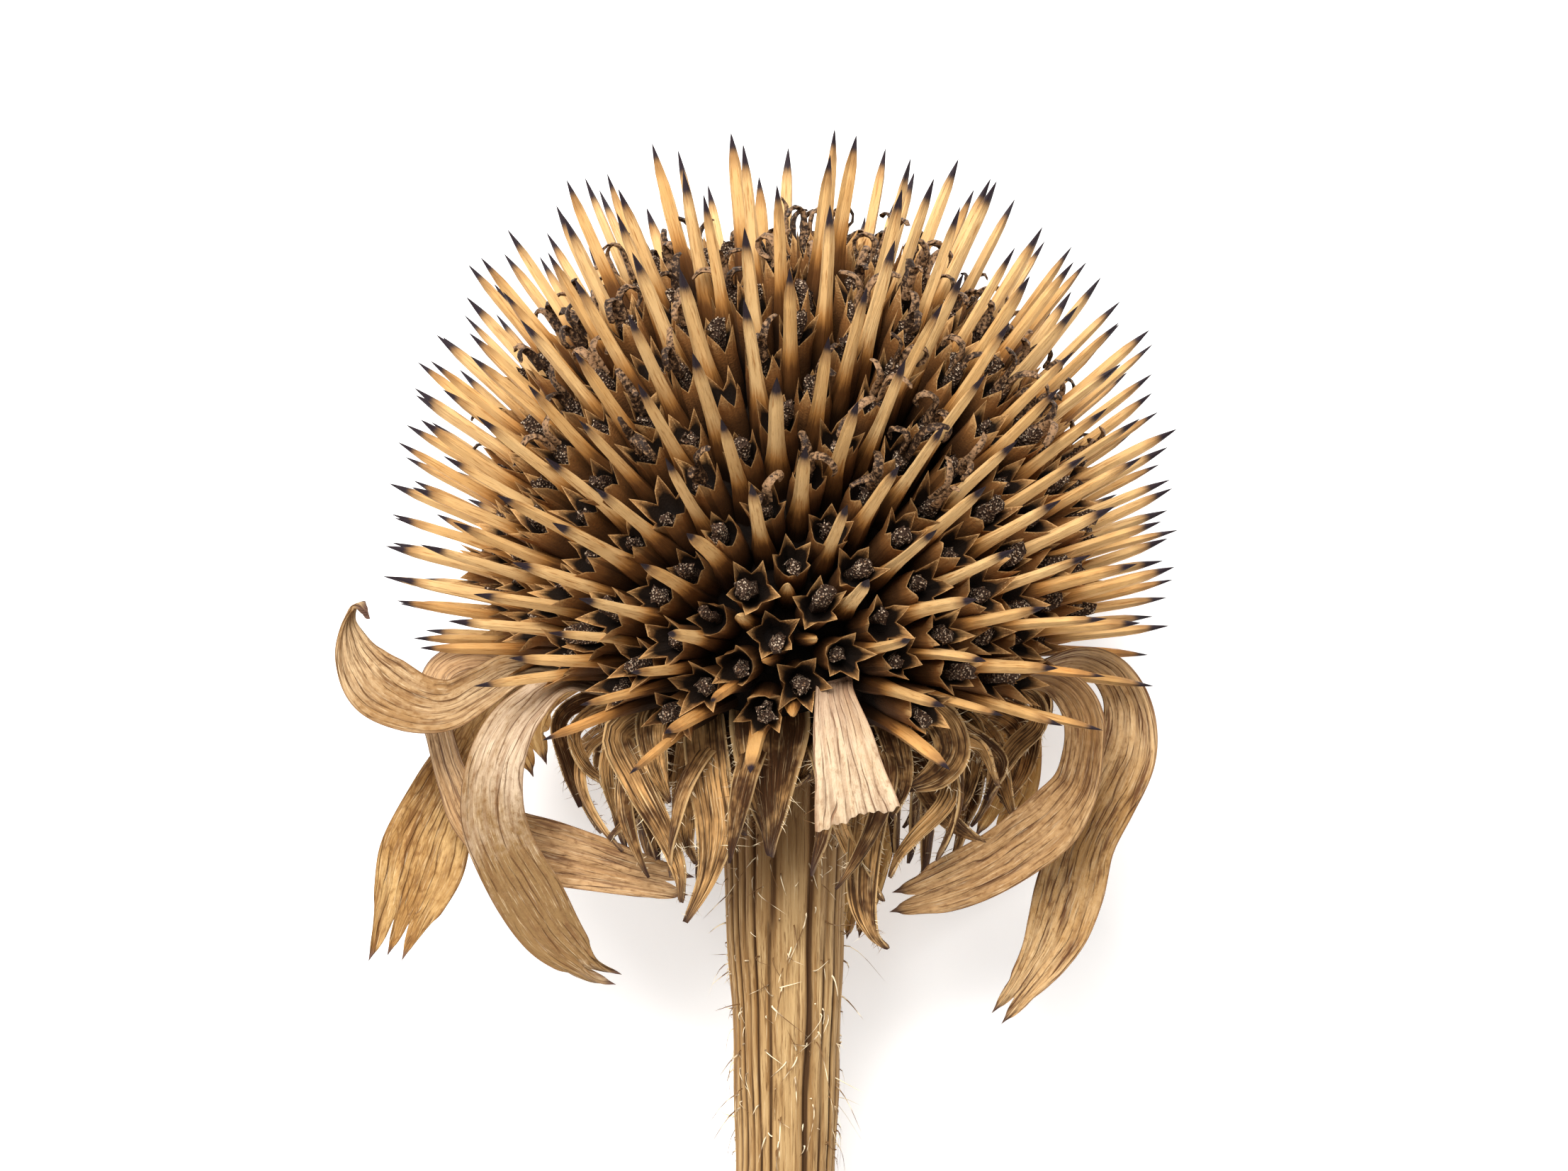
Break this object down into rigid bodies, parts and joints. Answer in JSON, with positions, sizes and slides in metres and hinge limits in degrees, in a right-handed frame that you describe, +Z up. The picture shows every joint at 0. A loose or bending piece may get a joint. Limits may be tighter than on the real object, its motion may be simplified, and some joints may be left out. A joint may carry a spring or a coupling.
{
  "type": "coneflower seed head",
  "caption": "Dried coneflower seed head on a cut, ridged stem: a dome of sharp spines and tube florets over curled bracts and withered petals, lying on its side.",
  "frame": {"origin": "centre of the bounding box's bottom face, on the surface that the flower lies on", "axes": "+Y along the length of the flower, from the cut end of the stem to the head, +Z up off the surface, +X to the right of the picture's view"},
  "size_m": [0.047, 0.0829, 0.0431],
  "materials": {
    "dry_spines": "satin, tan with dark tips",
    "dry_bract": "matt, hairy",
    "dry_petal": "matt, veined",
    "dry_stem": "matt, ridged"
  },
  "bodies": {
    "root": {"seed_head": "dry_spines", "bracts": "dry_bract", "stem": "dry_stem", "petal_left_curled": "dry_petal", "petal_left_back": "dry_petal", "petal_left_front": "dry_petal", "petal_left_inner": "dry_petal", "petal_right_inner": "dry_petal", "petal_right_outer": "dry_petal", "petal_front_torn": "dry_petal", "petal_back_left": "dry_petal", "petal_back_right": "dry_petal", "petal_back_middle": "dry_petal"}
  },
  "joints": []
}
